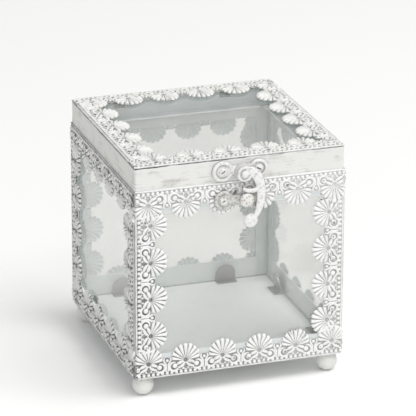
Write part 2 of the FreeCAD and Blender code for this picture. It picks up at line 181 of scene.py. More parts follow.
# Turned shape: a profile of (radius, height) pairs carried round the third axis.
def lathe(profile, points=32, wear=0.0):
    profile = np.asarray(profile, float)
    turn = np.arange(points) / points * 2 * math.pi
    ring = np.stack([np.cos(turn), np.sin(turn), np.zeros(points)], axis=-1)
    radius, height = profile[:, 0][:, None, None], profile[:, 1][:, None, None]
    wear = np.broadcast_to(np.asarray(wear, float).reshape(-1, 1), (len(profile), points))
    return skin(radius * ring[None] + height * up, wear)


sharpDegrees = 42.0          # edges that turn more than this stay sharp


# Makes the mesh object, lets it ride and hides the CAD nodes it stands for.
def addPiece(name, part, material, body, replacing):
    mesh = bpy.data.meshes.new(name)
    faces = part["quads"].tolist() + part["tris"].tolist()
    mesh.from_pydata((part["verts"] * metresPerMm).tolist(), [], faces)
    mesh.polygons.foreach_set("use_smooth", np.ones(len(mesh.polygons), bool))
    mesh.set_sharp_from_angle(angle=math.radians(sharpDegrees))
    wear = mesh.attributes.new("wear", "FLOAT", "POINT")
    wear.data.foreach_set("value", part["wear"].astype(np.float32))
    mesh.materials.append(material)
    piece = bpy.data.objects.new(name, mesh)
    bpy.context.scene.collection.objects.link(piece)
    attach(piece, body)
    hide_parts(*replacing)


# Gives a CAD node its material.
def paintNode(node, material):
    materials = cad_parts[node].data.materials
    materials.clear()
    materials.append(material)


# sRGB hex to linear: c / 12.92 below 0.04045, else ((c + 0.055) / 1.055) ^ 2.4.
def linearColour(hexValue):
    values = [int(hexValue[i:i + 2], 16) / 255 for i in (1, 3, 5)]
    return [c / 12.92 if c <= 0.04045 else ((c + 0.055) / 1.055) ** 2.4 for c in values] + [1.0]


# Adds a node with its settings. Inputs are values, or the sockets that feed them.
def addNode(tree, kind, inputs=None, **settings):
    node = tree.nodes.new(kind)
    for key, value in settings.items():
        setattr(node, key, value)
    for key, value in (inputs or {}).items():
        if isinstance(value, bpy.types.NodeSocket):
            tree.links.new(value, node.inputs[key])
        else:
            node.inputs[key].default_value = value
    return node


# An empty material and its node tree.
def newMaterial(name):
    material = bpy.data.materials.new(name)
    material.use_nodes = True
    material.node_tree.nodes.clear()
    return material, material.node_tree


# Pattern scale for a feature of the given size: one over its size in metres.
def perMetre(millimetres):
    return 1.0 / (millimetres * metresPerMm)


# Where a point lies on its object, in metres.
def objectPlace(tree):
    return addNode(tree, "ShaderNodeTexCoord").outputs["Object"]


# The wear that every point of a new surface carries. CAD nodes have none, which reads 0.
def wearValue(tree):
    return addNode(tree, "ShaderNodeAttribute", attribute_name="wear").outputs["Fac"]


# The place times a scale on each axis.
def scaledPlace(tree, place, scale):
    return addNode(tree, "ShaderNodeMapping", {"Vector": place, "Scale": scale}).outputs["Vector"]


# The place for marks of the given width, drawn out to the given length along some axes.
def drawnOut(tree, place, width, length, alongAxes):
    return scaledPlace(tree, place, [perMetre(length if axis in alongAxes else width) for axis in range(3)])


# Noise from 0 to 1: octaves at doubling frequency, each fainter by the roughness.
def noise(tree, place, scale, detail, roughness=0.5):
    inputs = {"Vector": place, "Scale": scale, "Detail": detail, "Roughness": roughness}
    return addNode(tree, "ShaderNodeTexNoise", inputs).outputs["Fac"]


# Ramp: low + (high - low) * t, where t goes from 0 to 1 as the value goes from start to
# end, in a straight line or by t * t * (3 - 2 * t).
def ramp(tree, value, start, end, low=0.0, high=1.0, smooth=False):
    inputs = {"Value": value, "From Min": start, "From Max": end, "To Min": low, "To Max": high}
    kind = "SMOOTHSTEP" if smooth else "LINEAR"
    return addNode(tree, "ShaderNodeMapRange", inputs, interpolation_type=kind).outputs["Result"]


# The sum, difference, product or larger of two values.
def reckon(tree, operation, first, second, clamp=False):
    inputs = {0: first, 1: second}
    return addNode(tree, "ShaderNodeMath", inputs, operation=operation, use_clamp=clamp).outputs[0]


mixSocket = {"first": 6, "second": 7, "result": 2}       # the colour sockets of a Mix node


# Colour mix: first * (1 - share) + second * share, each a hex value or a socket.
def blend(tree, share, first, second):
    inputs = {"Factor": share}
    for key, colour in (("first", first), ("second", second)):
        inputs[mixSocket[key]] = linearColour(colour) if isinstance(colour, str) else colour
    return addNode(tree, "ShaderNodeMix", inputs, data_type="RGBA").outputs[mixSocket["result"]]


# Shader mix: under * (1 - share) + over * share.
def layered(tree, share, under, over):
    return addNode(tree, "ShaderNodeMixShader", {"Fac": share, 1: under, 2: over}).outputs["Shader"]


# Ends a material with a principled surface, bumped by the given height.
def surfaced(tree, colour, roughness, height, strength, bumpMm, **more):
    bump = addNode(tree, "ShaderNodeBump", {"Height": height, "Strength": strength,
                                            "Distance": bumpMm * metresPerMm}).outputs["Normal"]
    inputs = {"Base Color": colour, "Roughness": roughness, "Normal": bump, **more}
    surface = addNode(tree, "ShaderNodeBsdfPrincipled", inputs).outputs["BSDF"]
    addNode(tree, "ShaderNodeOutputMaterial", {"Surface": surface})


# Paler tone for faces that look into the box and for the rails: painted light for the dimmer inside.
insidePaintedLight = {"pale": "#f2f8f9", "dull": "#e2eaeb"}


# Faces marked with a wear below zero look into the box: their paint is paler, painted light for the dimmer
# inside of the box, and cooler.
def insideTone(tree, wear, uneven, outside):
    cool = blend(tree, uneven, insidePaintedLight["pale"], insidePaintedLight["dull"])
    inside = reckon(tree, "MULTIPLY", wear, -1.0, clamp=True)
    return blend(tree, inside, outside, cool)


brush = {
    "strokeWidth": 0.5,      # millimetres
    "strokeLength": 22.0,
    "blotch": 7.0,
    "thinFrom": 1.02,        # unevenness where the coat starts to look thin
    "thinTo": 1.36,
    "patchScale": 1.6,
    "patchStretch": (1.0, 1.0, 0.12),
    "rubStep": 0.14,         # how soft a rubbed edge is
    "rough": (0.52, 0.74),
    "bumpMm": 0.12,
}


# Chalk paint brushed over sheet metal by hand: a dull white with long fine brush marks,
# greyer where the coat is thin and rubbed back to dark metal along the bends. Bare metal
# shows where wear times a broken pattern passes what the paint holds.
def brushedPaint(name, alongAxes, white="#e0e0dd", thin="#bdbab3", bare="#38332e", rubbed=0.95, holds=0.4):
    material, tree = newMaterial(name)
    place = objectPlace(tree)
    strokePlace = drawnOut(tree, place, brush["strokeWidth"], brush["strokeLength"], alongAxes)
    strokes = noise(tree, strokePlace, 1.0, 3.0, 0.6)
    uneven = reckon(tree, "ADD", strokes, noise(tree, place, perMetre(brush["blotch"]), 4.0, 0.6))
    thinness = ramp(tree, uneven, brush["thinFrom"], brush["thinTo"], smooth=True)
    coat = blend(tree, thinness, white, thin)
    wear = wearValue(tree)
    patchPlace = scaledPlace(tree, strokePlace, brush["patchStretch"])
    patches = noise(tree, patchPlace, brush["patchScale"], 2.0, 0.7)
    broken = reckon(tree, "MULTIPLY", wear, patches)
    rub = ramp(tree, broken, holds, holds + brush["rubStep"], high=rubbed)
    colour = insideTone(tree, wear, uneven, blend(tree, rub, coat, bare))
    rough = ramp(tree, strokes, 0.0, 1.0, *brush["rough"])
    surfaced(tree, colour, rough, uneven, 0.5, brush["bumpMm"], IOR=1.45)
    return material


stainAndShade = {
    "grain": 0.9,                        # millimetres
    "blotch": 5.0,
    "clearFrom": 0.16,                   # relief height where the wash starts to thin out
    "spread": (-0.12, 0.16),
    "patchy": 0.03,                      # metres that the fades wander
    # leftToRight and lowToHigh are where the wash thins out: painted light from the right and from above.
    "leftToRight": (-0.055, 0.035),      # metres
    "lowToHigh": (0.07, 0.115),          # metres
    "tips": (0.6, 0.72),
    "rough": 0.42,
    "bumpMm": 0.15,
}


# Chalk paint over stamped relief: white on the crests, and a grey wash in the hollows that is
# partly patina that dried there and partly painted shade that deepens the low relief. There is
# less of it towards the right, by fade, and towards the top, by fadeUp: painted light from the
# upper right. Wear is the relief's height, from 0 in a hollow to 1 on a crest, and more on tips
# rubbed bare. The wash shrinks as the height less a blotchy spread goes from clearFrom to upTo.
def reliefPaint(name, washAndShade=0.9, white="#f0f0ef", thin="#d4d3cf", hollow="#4c4c54", upTo=0.72,
                fade=0.55, fadeUp=1.0):
    material, tree = newMaterial(name)
    place = objectPlace(tree)
    fine = noise(tree, place, perMetre(stainAndShade["grain"]), 3.0, 0.65)
    blotches = noise(tree, place, perMetre(stainAndShade["blotch"]), 4.0, 0.6)
    height = wearValue(tree)
    level = reckon(tree, "SUBTRACT", height, ramp(tree, blotches, 0.3, 0.7, *stainAndShade["spread"]))
    depth = ramp(tree, level, stainAndShade["clearFrom"], upTo, washAndShade, 0.0, smooth=True)
    coat = blend(tree, ramp(tree, fine, 0.5, 0.75, smooth=True), white, thin)
    position = addNode(tree, "ShaderNodeSeparateXYZ", {"Vector": place}).outputs
    patchy = ramp(tree, blotches, 0.3, 0.7, -stainAndShade["patchy"], stainAndShade["patchy"])
    leftward = reckon(tree, "ADD", position["X"], patchy)
    upward = reckon(tree, "ADD", position["Z"], patchy)
    # Painted light: less wash towards the right and towards the top.
    left = ramp(tree, leftward, *stainAndShade["leftToRight"], 1.0, fade)
    upper = ramp(tree, upward, *stainAndShade["lowToHigh"], 1.0, fadeUp)
    amount = reckon(tree, "MULTIPLY", depth, reckon(tree, "MULTIPLY", left, upper))
    washedAndShaded = blend(tree, amount, coat, hollow)
    tips = reckon(tree, "MULTIPLY", height, blotches)
    rub = ramp(tree, tips, *stainAndShade["tips"], high=washAndShade)
    colour = insideTone(tree, height, fine, blend(tree, rub, washedAndShaded, hollow))
    surfaced(tree, colour, stainAndShade["rough"], fine, 0.35, stainAndShade["bumpMm"], IOR=1.45)
    return material


glass = {
    "tint": "#f8f8f7",
    "film": 0.085,           # share of dust on a face
    "dust": "#fafafa",
    "smear": 25.0,           # millimetres
    "edge": "#7fa39c",
    "edgeHides": 0.5,
    "ior": 1.5,
    "ease": 0.2,             # arrises, in millimetres
}


# Float glass: clear and almost without colour, a mirror sheen on the faces that light
# enters by, which grows at grazing angles by Fresnel, a thin film of dust that catches
# light, and green where one looks into a cut edge.
def floatGlass(name):
    material, tree = newMaterial(name)
    clear = addNode(tree, "ShaderNodeBsdfTransparent", {"Color": linearColour(glass["tint"])}).outputs["BSDF"]
    sheen = addNode(tree, "ShaderNodeBsdfGlossy", {"Color": linearColour("#ffffff"),
                                                   "Roughness": 0.03}).outputs["BSDF"]
    grazing = addNode(tree, "ShaderNodeFresnel", {"IOR": glass["ior"]}).outputs["Fac"]
    leaving = addNode(tree, "ShaderNodeNewGeometry").outputs["Backfacing"]
    entering = reckon(tree, "SUBTRACT", 1.0, leaving)
    polished = layered(tree, reckon(tree, "MULTIPLY", grazing, entering), clear, sheen)
    smear = noise(tree, objectPlace(tree), perMetre(glass["smear"]), 3.0)
    dust = addNode(tree, "ShaderNodeBsdfDiffuse", {"Color": linearColour(glass["dust"])}).outputs["BSDF"]
    amount = ramp(tree, smear, 0.0, 1.0, glass["film"] * 0.5, glass["film"] * 1.5)
    face = layered(tree, amount, polished, dust)
    cut = addNode(tree, "ShaderNodeBsdfPrincipled", {"Base Color": linearColour(glass["edge"]),
                                                     "Roughness": 0.25, "IOR": glass["ior"]}).outputs["BSDF"]
    share = reckon(tree, "MULTIPLY", wearValue(tree), glass["edgeHides"])
    both = layered(tree, share, face, cut)
    lampRay = addNode(tree, "ShaderNodeLightPath").outputs["Is Shadow Ray"]
    passing = addNode(tree, "ShaderNodeBsdfTransparent", {"Color": linearColour("#ffffff")}).outputs["BSDF"]
    addNode(tree, "ShaderNodeOutputMaterial", {"Surface": layered(tree, lampRay, both, passing)})
    return material


steel = {"lineWidth": 0.35, "lineLength": 12.0, "metallic": 0.85, "rough": (0.32, 0.55), "bumpMm": 0.03}


# Bare rolled or drawn steel: dull grey, with fine lines along the way it was rolled.
def rolledSteel(name, colour="#b8b8b5", dark="#94938f", rolledAxis=2):
    material, tree = newMaterial(name)
    linePlace = drawnOut(tree, objectPlace(tree), steel["lineWidth"], steel["lineLength"], (rolledAxis,))
    lines = noise(tree, linePlace, 1.0, 2.0)
    mixed = blend(tree, lines, dark, colour)
    rough = ramp(tree, lines, 0.0, 1.0, *steel["rough"])
    surfaced(tree, mixed, rough, lines, 0.4, steel["bumpMm"], Metallic=steel["metallic"])
    return material


casting = {"grain": 1.4, "speck": 0.8, "grimeTo": 0.78, "speckEdge": (0.6, 0.66),
           "rough": 0.42, "bumpMm": 0.2}


# Paint over a brass-plated casting, dulled by grime in its hollows and, where a part's wear
# asks for it, by painted shade on the hook's flanks and claw, and worn through in specks that show warm
# metal.
def wornCasting(name, white="#e8e8e6", grimeAndShade="#6a6765", brass="#b08d52", specks=0.5, dirty=0.55):
    material, tree = newMaterial(name)
    place = objectPlace(tree)
    fine = noise(tree, place, perMetre(casting["grain"]), 4.0, 0.6)
    spots = noise(tree, place, perMetre(casting["speck"]), 2.0)
    dirt = ramp(tree, fine, 0.65 - 0.25 * dirty, casting["grimeTo"], high=dirty, smooth=True)
    coat = blend(tree, reckon(tree, "MAXIMUM", dirt, wearValue(tree)), white, grimeAndShade)
    through = ramp(tree, spots, *casting["speckEdge"], high=specks)
    colour = blend(tree, through, coat, brass)
    surfaced(tree, colour, casting["rough"], fine, 0.5, casting["bumpMm"], IOR=1.5)
    return material


paintAcross = brushedPaint("chalk_paint_brushed_across", (0, 1))
paintUpright = brushedPaint("chalk_paint_brushed_upright", (2,), bare="#857f77", rubbed=0.75, holds=0.3)
# The rails take the paler inside tone on every face: painted light.
paintRails = brushedPaint("chalk_paint_rails", (0, 1), white=insidePaintedLight["pale"], thin=insidePaintedLight["dull"])
# The front rails show between the bottom shells: their paint is greyer, painted shade.
paintFrontRailsShaded = brushedPaint("chalk_paint_front_rails_shaded", (0, 1), white="#d6dada", thin="#c3c8c8")
paintFloor = brushedPaint("chalk_paint_floor", (0,), white="#edefee", thin="#dcdfde", rubbed=0.0)
paintRelief = {
    # The front's wash thins more towards the top: painted light.
    "front": reliefPaint("chalk_paint_relief_front", fadeUp=0.5),
    "right": reliefPaint("chalk_paint_relief_right"),
    "back": reliefPaint("chalk_paint_relief_back"),
    # The left wall's copy is darker, with more wash reaching higher: painted shade for the side away from the
    # light, over its patina.
    "left": reliefPaint("chalk_paint_relief_left", washAndShade=0.92, white="#eaeae8", thin="#acaba8",
                        hollow="#464547", upTo=0.95),
    # The lid's copy has a darker white and thin coat, painted shade that evens out the stronger light on its
    # top, and less wash that thins less to the right.
    "lid": reliefPaint("chalk_paint_relief_lid", washAndShade=0.75, white="#ebebe8", thin="#c8c6c0", fade=0.75),
}
clearGlass = floatGlass("float_glass")
bareSteel = rolledSteel("rolled_steel_tabs")
pinSteel = rolledSteel("drawn_steel_pin", colour="#8f8f8c", dark="#6d6d6a", rolledAxis=0)
castPaint = wornCasting("painted_casting", specks=0.15, dirty=0.68)
footPaint = wornCasting("painted_ball_feet", white="#e0e0dc", specks=0.0, dirty=0.42)
# The lower plate's copy is darker all over than the upper's.
lowerPaint = wornCasting("painted_casting_darker", white="#d3d3d0", specks=0.35, dirty=0.95)
knobPaint = wornCasting("worn_painted_knob", white="#e4e4e1", specks=0.95, dirty=0.85)
print("materials made")


ribbon = {
    "thick": 1.5,            # tallest relief
    "reach": 17.9,           # beaded edge to shell tips
    "pitch": 20.85,          # from shell to shell
    "hubAt": 8.4,            # shell hub from the beaded edge
    "shellRadius": 9.5,      # hub to tips
    "petals": 9,
    "petalDegrees": 19.5,
    "beadsPerPitch": 8,
    "beadRadius": 1.05,
    "beadAt": 2.0,
    "beadTop": 1.35,         # height that counts as a full crest
    "plateThick": 0.25,
    "plateWidth": 8.6,
    "hubRadius": 1.8,
    "sheet": 0.4,            # from a shell's front to its hollow back
    "scrollEye": (6.6, 5.4),
    "scrollCore": 1.5,
    "scrollRing": (2.6, 2.4),            # ring radius at its start and end
    "scrollTurn": (195, 275),            # where the ring starts and how far it goes, degrees
    "ballAt": 9.2,
    "ballRadius": 1.0,
}


# Fan shell about its hub, stamped from sheet so that its back is hollow. At angle a from
# the fan's middle the tip radius is an envelope that shortens towards the side petals,
# less a share that grows with f, the distance from the petal's middle, so every petal
# ends round. The height is a crest line along the petal times 1 - f^2 above a low groove,
# and the hub is a dimple in a ring. The back is the front sunk by the sheet's thickness.
def fanShell():
    perPetal, behindPoints = 6, 9
    step = ribbon["petalDegrees"]
    fanEdge = ribbon["petals"] * step / 2
    fan = np.arange(ribbon["petals"] * perPetal + 1) / perPetal * step - fanEdge
    behind = np.linspace(fanEdge, 360 - fanEdge, behindPoints + 2)[1:-1]
    signed = (np.concatenate([fan, behind]) + 180) % 360 - 180
    inFan = np.abs(signed) <= fanEdge + 0.01
    fromRib = np.abs((signed / step + 0.5) % 1 - 0.5) * 2
    envelope = np.interp(np.abs(signed), [0, 30, 50, 72, 88], [1, 1, 0.97, 0.9, 0.78])
    tip = ribbon["shellRadius"] * envelope * (1 - 0.14 * fromRib ** 3)
    hubRadius = ribbon["hubRadius"]
    tip = np.where(inFan, tip, hubRadius + 0.3)
    share = np.array([0, 0.12, 0.28, 0.48, 0.68, 0.84, 0.94, 1.0])[:, None]
    hub = np.array([0.35, 0.8, 1.2])[:, None]
    radius = np.concatenate([hub * np.ones_like(tip), hubRadius + share * (tip - hubRadius)])
    crest = np.interp(share, [0, 0.28, 0.68, 0.84, 0.94, 1], [0.95, 1.25, 1.5, 1.42, 1.1, 0.35])
    groove = np.interp(share, [0, 0.12, 0.28, 0.9, 1], [0.6, 0.42, 0.3, 0.25, 0.15])
    ridge = 1 - np.minimum(fromRib, 1) ** 2
    # Low wear in the grooves, least near the hub and the tips, darkens them with wash: patina and painted
    # shade between the petals.
    shade = np.interp(share, [0, 0.12, 0.5, 0.8, 1], [0.02, 0.12, 0.34, 0.2, 0.02])
    fanHeight = groove + (crest - groove) * ridge
    hubHeight = np.array([0.2, 0.3, 0.7])[:, None] * np.ones_like(tip)
    height = np.concatenate([hubHeight, np.where(inFan, fanHeight, 0.9 - 0.6 * share)])
    rubbed = np.interp(share, [0, 0.3, 0.93, 1], [0.8, 1, 1, 1.35])
    relief = np.concatenate([
        np.array([0.0, 0.05, 0.45])[:, None] * np.ones_like(tip),
        np.where(inFan, shade + (rubbed - shade) * ridge, 0.8 - 0.5 * share),
    ])
    turn = np.radians(signed)
    front = np.stack([radius * np.sin(turn), radius * np.cos(turn), height], axis=-1)
    backRings = [10, 8, 6, 4, 1]
    sunk = np.maximum(height[backRings] - ribbon["sheet"], 0)
    hollow = front[backRings] * (1, 1, 0) + sunk[..., None] * up
    rim = front[-1] * (1, 1, 0)
    wear = np.concatenate([relief, [np.full(len(tip), 0.2)], np.full((len(backRings), len(tip)), -1.0)])
    return skin(np.concatenate([front, [rim], hollow * (0.985, 0.985, 1)]), wear)


# Disc painted dark under a raised core: a painted shadow that shows as a ring round it.
def shadowDisc(radius, x, y):
    disc = lathe([[radius, 0.0], [radius - 0.1, 0.32], [0.3, 0.32]], 12, wear=[-1, 0.02, 0.02])
    return copies(disc, [[x, y, 0.0]])


# C-scroll beside the hub: two tapering leaves that leave the hub, and a ring round a
# domed core over a disc painted dark as its shadow. The ring's radius shrinks evenly as it turns.
def scroll():
    eye = np.array(ribbon["scrollEye"])
    core = copies(bead(ribbon["scrollCore"], 12), [[eye[0] - 0.5, eye[1] + 0.3, 0.3]])
    shade = shadowDisc(2.2, eye[0] + 0.2, eye[1] - 0.1)
    upperPath = [[1.5, 8.0, 0.6], [2.3, 7.7, 0.7], [3.3, 7.3, 0.7], [4.2, 6.9, 0.6], [5.0, 6.4, 0.45]]
    upperLeaf = tube(upperPath, [0.55, 0.85, 0.95, 0.8, 0.4])
    lowerPath = [[0.8, 6.8, 0.5], [1.3, 6.0, 0.6], [2.2, 5.3, 0.65], [3.2, 4.8, 0.6], [4.3, 4.5, 0.5]]
    lowerLeaf = tube(lowerPath, [0.5, 0.78, 0.9, 0.8, 0.6])
    share = np.linspace(0, 1, 18)
    first, last = ribbon["scrollRing"]
    start, sweep = np.radians(ribbon["scrollTurn"])
    turn = start + share * sweep
    spiral = eye + (first + (last - first) * share)[:, None] * np.stack([np.cos(turn), np.sin(turn)], axis=-1)
    rise = np.interp(share, [0, 0.3, 0.8, 1], [0.45, 0.62, 0.62, 0.4])
    ring = tube(np.column_stack([spiral, rise]), np.interp(share, [0, 0.2, 0.8, 1], [0.5, 0.72, 0.66, 0.4]))
    filler = copies(bead(0.8, 8), [[1.4, 3.95, 0.2], [3.2, 3.25, 0.05]])
    return joined([core, shade, upperLeaf, lowerLeaf, ring, filler])


# Bead: half a ball, radius times (cos b, sin b), from the rim to near the crown.
def bead(radius, points=8):
    rise = np.radians([0, 32, 60, 80])
    return lathe(np.stack([radius * np.cos(rise), radius * np.sin(rise)], axis=-1), points=points)


# Tulip between two shells: a split stem, and two arms that part round a ball on a disc
# painted dark as its shadow, and close a little above it.
def tulip():
    stem = tube([[0.72, 3.0, 0.5], [0.68, 5.0, 0.55], [0.66, 7.4, 0.6]], 0.6, points=7)
    armPath = [[0.62, 6.9, 0.5], [1.15, 7.9, 0.55], [1.75, 8.8, 0.55], [1.95, 9.7, 0.5], [1.6, 10.8, 0.45]]
    arm = tube(armPath, [0.58, 0.6, 0.6, 0.56, 0.45])
    ball = copies(bead(ribbon["ballRadius"], 10), [[0, ribbon["ballAt"], 0.3]])
    shade = shadowDisc(1.8, 0, ribbon["ballAt"])
    return joined([arm, mirrored(arm), stem, mirrored(stem), ball, shade])


# Long bar beside the beads: a tube that wavers along it as the sum of two slow sines.
def edgeBar(start, end, at, radius, height):
    count = max(3, int((end - start) / 4))
    along = np.linspace(start, end, count)
    waver = 0.05 * np.sin(along * 0.9) + 0.04 * np.sin(along * 2.3 + 1)
    return tube(np.column_stack([along, at + waver, np.full(count, height)]), radius, points=6, wear=0.62)


# Flat rectangle of backing sheet, with its inside face marked. Tone is its relief height.
def backing(start, end, low, high, thick, tone=0.34):
    across = np.array([low, high])
    along = np.linspace(start, end, max(2, int((end - start) / 6)))
    top = np.stack(np.broadcast_arrays(along[:, None], across[None], thick), axis=-1)
    return sheet(top, top * (1, 1, 0), tone)


# A whole strip, length along x and reach along y. What would pass an end is pressed flat
# onto it. Gaps are stretches of the beaded edge that are cut away, each (start, end,
# depth). Where a part gives no wear of its own, it is the height over beadTop.
def shellRibbon(length, hubs, gaps=()):
    hubs = np.asarray(hubs, float)
    pitch = ribbon["pitch"]

    # Places that lie on the strip, give or take over, and off the gaps cut deeper than depth.
    def kept(places, depth, over=-0.4):
        places = places[(places > -over) & (places < length + over)]
        for start, end, cut in gaps:
            if depth < cut:
                places = places[(places < start - 0.5) | (places > end + 0.5)]
        return places

    # Copies of a part at places along the strip, each at the same reach.
    def rowOf(part, places, at=0.0):
        return copies(part, np.column_stack([places, np.full(len(places), at), np.zeros(len(places))]))

    stations = np.concatenate([[hubs[0] - pitch], hubs, [hubs[-1] + pitch]])
    parts = [rowOf(fanShell(), hubs, ribbon["hubAt"])]
    reach = ribbon["scrollEye"][0]
    for hand, side in ((scroll(), 1), (mirrored(scroll()), -1)):
        eyes = kept(stations + side * reach, 5.0, 1.8)
        parts.append(rowOf(hand, eyes - side * reach))
    between = kept(stations[:-1] + pitch / 2, 5.0, 0.6)
    parts.append(rowOf(tulip(), between))
    beadStep = pitch / ribbon["beadsPerPitch"]
    firstBead = stations[0] % beadStep
    beads = kept(np.arange(firstBead, length, beadStep), ribbon["beadAt"])
    raised = copies(bead(ribbon["beadRadius"]), [[0, 0, 0.3]])
    parts.append(rowOf(raised, beads, ribbon["beadAt"]))
    runs = [(0.0, length)]
    for start, end, cut in gaps:
        split = [run for low, high in runs for run in ((low, min(high, start)), (max(low, end), high))]
        runs = [run for run in split if run[1] - run[0] > 1]
    for low, high in runs:
        parts.append(edgeBar(low, high, 0.55, 0.5, 0.4))
        parts.append(edgeBar(low, high, 3.15, 0.24, 0.4))
        parts.append(backing(low, high, 0.1, 3.0, ribbon["plateThick"] + 0.02, 0.12))
        parts.append(backing(low, high, 2.9, ribbon["plateWidth"], ribbon["plateThick"], 0.3))
    for start, end, cut in gaps:
        parts.append(backing(start, end, cut, ribbon["plateWidth"], ribbon["plateThick"]))
    whole = joined(parts)
    verts = whole["verts"].copy()
    beyond = (verts[:, 0] < 0) | (verts[:, 0] > length)
    verts[:, 2] = np.where(beyond, 0, np.clip(verts[:, 2], 0, ribbon["thick"]))
    verts[:, 0] = np.clip(verts[:, 0], 0, length)
    verts[:, 1] = np.clip(verts[:, 1], 0, ribbon["reach"])
    byHeight = np.where(verts[:, 2] < 0.02, -1.0, verts[:, 2] / ribbon["beadTop"])
    relief = np.where(whole["wear"] != 0, whole["wear"], byHeight)
    return dict(whole, verts=verts, wear=relief)


# Puts a strip on its CAD node: second axis inward from the beaded edge, third outward.
def addRibbon(node, inward, away, hubs, material, body, gaps=()):
    low, high = nodeBox(node)
    along = np.cross(inward, away)
    corners = np.stack([low, high])
    origin = sum(axis * (corners @ axis).min() for axis in (along, inward, away))
    start, end = sorted(corners @ along)
    strip = shellRibbon(end - start, [hub - start for hub in hubs], gaps)
    name = "ribbon_" + node.replace("trim_", "")
    addPiece(name, placed(strip, origin, along, inward, away), material, body, [node])


# Shell places along a strip, counted from its start, as signed distances on its axis.
def shellRow(start, length, first):
    count = int((length - first) / ribbon["pitch"]) + 1
    return [start + first + i * ribbon["pitch"] for i in range(count)]


shells = {
    "wallFirst": {"front": 7.1, "right": 7.1, "back": 7.1, "left": 10.0},
    "lidFirst": {"front": 13.1, "right": 5.6, "back": 3.6, "left": 8.7},
    "leftFirst": 24.7,       # above the posts' lower ends
    "rightFirst": 21.0,
    "leafClear": (0.3, 0.45),            # beside and below a hinge leaf
}
beside, below = shells["leafClear"]
hingeGaps = []
for side in ("left", "right"):
    low, high = nodeBox("hinge_leaf_body_" + side)
    hingeGaps.append((low[0] - frameLow[0] - beside, high[0] - frameLow[0] + beside, seamZ - low[2] + below))
upperEnd = seamZ - ribbon["reach"]
for wall, away in outward.items():
    rightward = np.cross(up, away)
    span = 2 * abs(halfXY @ rightward[:2])
    places = shellRow(bodyMiddle @ rightward - span / 2, span, shells["wallFirst"][wall])
    addRibbon("trim_" + wall + "_bottom", up, away, places, paintRelief[wall], "box")
    addRibbon("trim_" + wall + "_top", -up, away, [-place for place in places][::-1], paintRelief[wall],
              "box", hingeGaps if wall == "back" else ())
    leftHeights = shellRow(bodyZ, upperEnd - bodyZ, shells["leftFirst"])
    heights = [-height for height in leftHeights][::-1]
    addRibbon("trim_" + wall + "_left", rightward, away, heights, paintRelief[wall], "box")
    heights = shellRow(bodyZ, upperEnd - bodyZ, shells["rightFirst"])
    addRibbon("trim_" + wall + "_right", -rightward, away, heights, paintRelief[wall], "box")
    along = np.cross(-away, up)
    places = shellRow(bodyMiddle @ along - span / 2, span, shells["lidFirst"][wall])
    low, high = nodeBox("lid_trim_" + wall)
    ends = sorted([low @ along, high @ along])
    places = [place for place in places if ends[0] - 2 < place < ends[1] + 2]
    addRibbon("lid_trim_" + wall, -away, up, places, paintRelief["lid"], "lid")
print("ribbons made")


fold = {
    "bend": 1.1,
    "sheet": 1.0,
    "wearBand": 0.7,
    "waver": 0.10,
    "flange": 8.0,           # of the lid's frame, over the glass
    "cornerRadius": 1.3,
    "leg": 8.0,              # of a corner post
    "toeInset": 0.4,
}


# Section of an angle with a round bend, as outer and inner points. The outer line runs up
# the first leg, round a quarter circle and along the second leg; the inner line is the
# same set in by the sheet's thickness. Wear is 1 on the bend and the free edges.
def angleSection(firstLeg, secondLeg):
    bend, band, thick = fold["bend"], fold["wearBand"], fold["sheet"]
    turn = np.radians(np.linspace(0, 90, 6))
    innerBend = max(bend - thick, 0.05)
    lineA = [0.0, band, firstLeg / 2, firstLeg - bend - band]
    lineB = [bend + band, secondLeg / 2, secondLeg - band, secondLeg]
    outer = [[0.0, a] for a in lineA]
    inner = [[thick, a] for a in lineA]
    outer += [[bend - bend * math.cos(t), firstLeg - bend + bend * math.sin(t)] for t in turn]
    inner += [[thick + innerBend * (1 - math.cos(t)), firstLeg - thick - innerBend * (1 - math.sin(t))]
              for t in turn]
    outer += [[b, firstLeg] for b in lineB]
    inner += [[b, firstLeg - thick] for b in lineB]
    wear = [0.7, 0, 0, 0, 0.1, 0.5, 0.9, 1.0, 0.9, 0.6, 0.2, 0, 0, 0.7]
    return np.array(outer), np.array(inner), np.array(wear)


# Points round the body's plan with round corners, set in from it: each corner's centre
# plus its radius times (cos a, sin a), with straight runs between.
def roundedPlan(inset, runPoints=10):
    radius = max(fold["cornerRadius"] - inset, 0.05)
    centre = halfXY - inset - radius
    signs = np.array([(1, 1), (-1, 1), (-1, -1), (1, -1)])
    share = np.linspace(0, 1, runPoints)[1:-1, None]
    points = []
    for corner, (sign, following) in enumerate(zip(signs, np.roll(signs, -1, axis=0))):
        turn = np.radians(corner * 90 + np.linspace(0, 90, 6))
        arc = sign * centre + radius * np.stack([np.cos(turn), np.sin(turn)], axis=-1)
        points.append(np.concatenate([arc, arc[-1] + (following - sign) * centre * share]))
    return np.concatenate(points)


